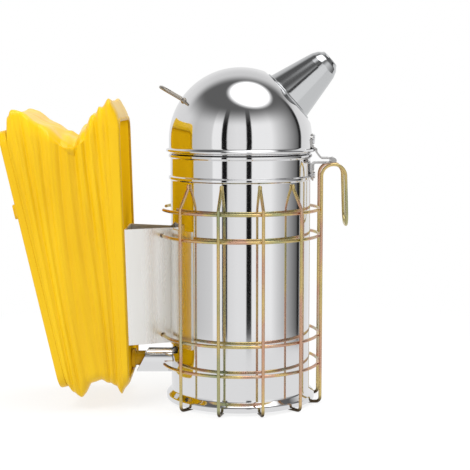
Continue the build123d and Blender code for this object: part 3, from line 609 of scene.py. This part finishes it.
front_ring = moulding("front_moulding", front_foot, front_up, front_out, FRONT_H, FRONT_DEPTHS)
outer_ring = moulding("outer_moulding", outer_foot, outer_up, outer_out, OUTER_H, OUTER_DEPTHS)
for piece, body, cad_node in ((front_ring, "smoker", "front_frame"),
                              (outer_ring, "squeeze_board", "outer_frame")):
    paint(piece, moulded)
    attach(piece, body)
    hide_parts(cad_node)
# The front board's face gets its own more orange copy of the yellow, without gloss: its amber tone is painted
# shade and yellow bounce light between the board and the can.
shaded = yellow_material("board_face_painted_shade", (0.95, 0.55, 0.008), (0.90, 0.50, 0.006), 0.9, 0.05, 0.0)
for name in ("outer_board", "finger_stop", "outlet_nozzle"):
    paint(nodes[name], moulded)
paint(nodes["front_board"], shaded)


def smooth_through(knots, at):
    """A smooth curve through (position, value) knots: cubic Hermite pieces, each with the slope that
    its neighbours give it."""
    x, y = np.array(knots, float).T
    slope = np.gradient(y, x)
    place = np.clip(np.searchsorted(x, at, side="right") - 1, 0, len(x) - 2)
    width = x[place + 1] - x[place]
    t = (at - x[place]) / width
    a, b = y[place], y[place + 1]
    p, q = slope[place] * width, slope[place + 1] * width
    from_a = (2 * t**3 - 3 * t**2 + 1) * a + (t**3 - 2 * t**2 + t) * p
    to_b = (-2 * t**3 + 3 * t**2) * b + (t**3 - t**2) * q
    return from_a + to_b


LOBES_TOP = [(0, -0.6), (0.02, 4), (0.05, 9.5), (0.075, 13.5), (0.1, 14.5), (0.13, 11.5), (0.155, 9.5),
             (0.175, 10.5), (0.2, 7), (0.25, 4.5), (0.31, -3), (0.38, -8), (0.43, -13.5), (0.5, -10.5),
             (0.57, -6), (0.64, -1), (0.7, 3), (0.75, 5.5), (0.79, 9), (0.83, 12.5), (0.9, 15),
             (0.935, 14), (0.955, 11), (0.97, 10), (0.985, 5), (1, -0.5)]
LOBES_LOW = [(0, -0.4), (0.04, 1.5), (0.09, 4), (0.13, 7.8), (0.165, 6.5), (0.21, 3), (0.33, 0),
             (0.42, -2), (0.55, -2), (0.64, 0), (0.7, 4), (0.77, 7), (0.82, 9.5), (0.87, 7.5),
             (0.95, 4.5), (1, 0)]
NOTCH_AT = 0.44
NOTCH_WIDTH = 0.14
CORNER_DROP = 9 * MM
MIDDLE_RISE = 5 * MM
RUMPLE = 1.3 * MM
RIPPLE = 1.2 * MM
LAP = 0.9 * MM
BOW = 3.0 * MM
START_DEPTH = 1.0 * MM
END_DEPTH = 4.1 * MM
VINYL = 1.0 * MM
FOLDS = 7.5


def bellows_skin():
    """Rings from the front moulding (t = 0) to the outer frame (t = 1). Each ring is the board's
    outline. The lobes move its top edge up and its bottom edge down. Folds that grow towards the top
    move its sides inwards by depth * (0.45 (1 - |cos(pi phase)|) + 0.55 sin(pi phase)^2), where the
    phase rises with t. The first rings lap over the front moulding."""
    around, along = 420, 150
    t = np.concatenate([np.linspace(0, 0.1, 30, endpoint=False), np.linspace(0.1, 1, along - 30)])
    outline_f = board_outline(BOARD_HALF, FRONT_H, BOARD_CORNER, around)
    outline_o = board_outline(BOARD_HALF, OUTER_H, BOARD_CORNER, around)
    y = outline_f[:, 0][:, None] + 0 * t
    up_share = np.clip(outline_f[:, 1][:, None] / FRONT_H + 0 * t, 0, 1)
    edge = np.clip(np.abs(y) / BOARD_HALF, 0, 1)
    top = smooth_through(LOBES_TOP, t) * MM
    low = smooth_through(LOBES_LOW, t) * MM
    notch = np.exp(-(np.abs(t - NOTCH_AT) / NOTCH_WIDTH)**1.5)
    lift = np.clip((up_share - 0.9) / 0.085, 0, 1)**1.5
    sink = np.clip((0.1 - up_share) / 0.085, 0, 1)**1.5
    corner_drop = CORNER_DROP * notch * edge**3
    swell = np.sin(pi * np.clip(t / 0.9, 0, 1))
    lobe_arch = 1 - 0.22 * (1 - edge**2) * (1 - notch)
    waves = np.sin(9 * t * pi + 2.4 * np.sin(y / MM * 0.09)) * np.sin(y / MM * 0.16 + 5 * t)
    rumple = RUMPLE * waves * (1 - edge)
    middle_rise = MIDDLE_RISE * notch * (1 - edge)
    rise = lift * (top * lobe_arch - corner_drop + middle_rise + rumple * swell) - sink * low
    start = front_foot + front_out * START_DEPTH
    end = outer_foot + outer_out * END_DEPTH
    blend_t = t[None, :, None]
    spine = (start + outline_f[:, 1][:, None, None] * front_up) * (1 - blend_t)
    spine = spine + (end + outline_o[:, 1][:, None, None] * outer_up) * blend_t
    up = front_up * (1 - blend_t) + outer_up * blend_t
    up = up / np.linalg.norm(up, axis=-1, keepdims=True)
    wander = -0.04 * np.sin(2 * pi * (1.3 * t + 0.2)) + 0.03 * np.sin(6 * t + 3.1 * up_share)
    phase = FOLDS * (t + wander) + 0.5 * (up_share - 0.5) * np.sin(pi * t)
    fold = np.clip(0.45 * (1 - np.abs(np.cos(pi * phase))) + 0.55 * np.sin(pi * phase)**2, 0, 1)
    fine_phase = 2.7 * phase + 0.8 * np.sin(3 * up_share + 4 * t)
    fine = np.clip(1 - np.abs(np.cos(pi * fine_phase)), 0, 1)
    ease = np.clip((np.minimum(t - 0.09, 1 - t)) / 0.05, 0, 1)
    depth = (1.8 + 1.6 * up_share**1.5) * MM * ease
    lap = LAP * np.clip((0.13 - t) / 0.04, 0, 1) * np.clip(t / 0.01, 0.3, 1)
    bow = BOW * np.sin(pi * t) * (0.4 + 0.6 * up_share)
    side = np.clip((edge - 0.7) / 0.3, 0, 1)**1.3
    inward = side * (depth * (0.85 * fold + 0.15 * fine) + 0.4 * bow - lap)
    y_new = np.sign(y) * (np.abs(y) - inward)
    ripple = (1 - side) * fold * RIPPLE * ease * np.where(up_share > 0.5, -1, 1)
    ends = np.where(up_share > 0.5, 1, -1) * (1 - side) * lap
    points = spine + ACROSS * y_new[..., None] + up * (rise + ripple + ends)[..., None]
    return skin_mesh("bellows_skin_folds", points, loop_u=True)


skin = bellows_skin()
paint(skin, vinyl)
thicken(skin, VINYL)
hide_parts("bellows_skin")
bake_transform(skin)


# ---------------------------------------------------------------------------------------------
# Return spring. Round wire wound between two cups inside the bellows. It pushes the boards apart
# and shortens as they close; here it is one helix of fixed length, carried by the smoker body.
# ---------------------------------------------------------------------------------------------
COIL_R = 9.7 * MM
COIL_WIRE = 0.8 * MM
COIL_TURNS = 6
CUP_DEPTH = 3.2 * MM


def spring_helix():
    """A helix: r cos a across and r sin a beside the line between the cups, rising evenly along it."""
    cups = [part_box("front_spring_cup"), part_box("outer_spring_cup")]
    near, far = (np.array((low + high) / 2) for low, high in cups)
    axis = (far - near) / np.linalg.norm(far - near)
    side = np.cross(axis, ACROSS)
    angle = np.linspace(0, 2 * pi * COIL_TURNS, 260)[:, None]
    reach = np.linspace(CUP_DEPTH, np.linalg.norm(far - near) - CUP_DEPTH, 260)[:, None]
    path = near + axis * reach + COIL_R * (np.cos(angle) * ACROSS + np.sin(angle) * side)
    return wire("spring_coil", path, COIL_WIRE, axis, sides=8), near, axis


spring, spring_start, spring_axis = spring_helix()
paint(spring, dull)
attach(spring, "smoker")
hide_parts("return_spring")
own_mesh(spring)


# ---------------------------------------------------------------------------------------------
# Studio: a pale floor, white surroundings with a few dark strips for the metal to reflect, two
# soft lights and the camera.
# ---------------------------------------------------------------------------------------------
SOFT_BOX = 2.6
SOFT_BOX_WAY = (0.20, -0.155, 0.967)
TABLE_GREY = 0.86
CEILING_BACK, CEILING_FRONT = 0.72, 0.13
PANELS = [(-180, 0.85), (-100, 0.8), (-79, 0.62), (-47, 0.74), (-45, 1.0), (-30.6, 1.0), (-30, 0.01),
          (-21.6, 0.01), (-21, 0.82), (-6, 0.9), (8.6, 0.9), (9.2, 0.01), (17, 0.01), (17.6, 1.0),
          (50, 1.0), (62, 0.75), (84, 0.4), (104, 0.14), (107, 0.02), (112, 0.02), (114, 0.8),
          (150, 0.9), (180, 0.85)]


def studio_world():
    """White all round for the camera. What the metal reflects is set by direction: at eye level white
    panels with black gaps and a dark side, given as greys by azimuth in degrees, above them a ceiling
    that is dark at the front, and a soft box overhead."""
    world = bpy.data.worlds.new("studio")
    bpy.context.scene.world = world
    world.use_nodes = True
    tree = world.node_tree
    tree.nodes.clear()
    direction = tree.nodes.new("ShaderNodeTexCoord").outputs["Generated"]
    way = node(tree, "ShaderNodeSeparateXYZ", Vector=direction).outputs
    azimuth = arithmetic(tree, "ARCTAN2", way["X"], arithmetic(tree, "MULTIPLY", way["Y"], -1.0))
    turn = arithmetic(tree, "ADD", arithmetic(tree, "DIVIDE", azimuth, 2 * pi), 0.5)
    level = ramp(tree, turn, [(way_round / 360 + 0.5, (grey, grey, grey, 1)) for way_round, grey in PANELS])

    def between(value, start, stop):
        """0 below start and 1 above stop, with a smooth step between them."""
        made = node(tree, "ShaderNodeMapRange", Value=value)
        made.interpolation_type = "SMOOTHSTEP"
        made.inputs["From Min"].default_value = start
        made.inputs["From Max"].default_value = stop
        return made.outputs[0]

    def mixed(share, first, second):
        """first where share is 0 and second where it is 1."""
        made = node(tree, "ShaderNodeMix", Factor=share, i2=first, i3=second)
        return made.outputs[0]

    towards_camera = between(way["Y"], 0.62, 0.25)
    ceiling = mixed(towards_camera, CEILING_BACK, CEILING_FRONT)
    table = mixed(between(way["Z"], -0.205, -0.195), TABLE_GREY, level)
    upper = mixed(between(way["Z"], 0.36, 0.78), table, ceiling)
    box_way = node(tree, "ShaderNodeVectorMath", i0=direction, i1=SOFT_BOX_WAY)
    box_way.operation = "DOT_PRODUCT"
    seen = mixed(between(box_way.outputs["Value"], 0.865, 0.97), upper, SOFT_BOX)
    light = node(tree, "ShaderNodeBackground", Color=(1, 1, 1, 1), Strength=seen)
    plain = node(tree, "ShaderNodeBackground", Color=(1, 1, 1, 1), Strength=1.0)
    path = tree.nodes.new("ShaderNodeLightPath")
    pick = node(tree, "ShaderNodeMixShader", Fac=path.outputs["Is Camera Ray"])
    tree.links.new(light.outputs[0], pick.inputs[1])
    tree.links.new(plain.outputs[0], pick.inputs[2])
    leave = tree.nodes.new("ShaderNodeOutputWorld")
    tree.links.new(pick.outputs[0], leave.inputs[0])


def pale_floor():
    """A large disc at the smoker's feet that is seen and takes a soft shadow, and isn't reflected."""
    rings = np.array([[0.0005, 0], [0.3, 0], [0.8, 0], [4.0, 0]])
    floor = skin_mesh("floor", turned(rings, 96), loop_u=True)
    material = bpy.data.materials.new("pale_floor")
    material.use_nodes = True
    tree = material.node_tree
    tree.nodes.clear()
    place = tree.nodes.new("ShaderNodeTexCoord").outputs["Object"]
    distance = node(tree, "ShaderNodeVectorMath", i0=place)
    distance.operation = "LENGTH"
    fade = node(tree, "ShaderNodeMapRange", Value=distance.outputs["Value"])
    fade.inputs["From Min"].default_value = 0.16
    fade.inputs["From Max"].default_value = 0.42
    fade.inputs["To Min"].default_value = 0.78
    matt = node(tree, "ShaderNodeBsdfDiffuse", Color=(0.97, 0.97, 0.97, 1))
    glow = node(tree, "ShaderNodeEmission", Strength=1.0)
    mix = node(tree, "ShaderNodeMixShader", Fac=fade.outputs[0])
    tree.links.new(matt.outputs[0], mix.inputs[1])
    tree.links.new(glow.outputs[0], mix.inputs[2])
    leave = tree.nodes.new("ShaderNodeOutputMaterial")
    tree.links.new(mix.outputs[0], leave.inputs["Surface"])
    paint(floor, material)
    floor.visible_glossy = False


def soft_light(name, place, size, power):
    """A square area light that points at the middle of the smoker."""
    lamp = bpy.data.lights.new(name, "AREA")
    lamp.size = size
    lamp.energy = power
    holder = bpy.data.objects.new(name, lamp)
    bpy.context.scene.collection.objects.link(holder)
    holder.location = place
    holder.visible_glossy = False
    aim = Vector((0, 0, 0.12)) - Vector(place)
    holder.rotation_euler = aim.to_track_quat("-Z", "Y").to_euler()


def long_lens_camera():
    """A long lens level with the dome's upper part, looking slightly down."""
    data = bpy.data.cameras.new("camera")
    data.sensor_width = 36.0
    data.lens = 93.4
    camera = bpy.data.objects.new("camera", data)
    bpy.context.scene.collection.objects.link(camera)
    camera.location = (-0.004, -0.886, 0.2227)
    camera.rotation_euler = (radians(90 - 6.5), 0, 0)
    bpy.context.scene.camera = camera


studio_world()
pale_floor()
soft_light("key", (-0.5, -0.7, 0.9), 0.5, 8.0)
soft_light("top", (0.3, 0.2, 1.2), 0.8, 6.0)
long_lens_camera()
bpy.context.scene.view_settings.view_transform = "Standard"
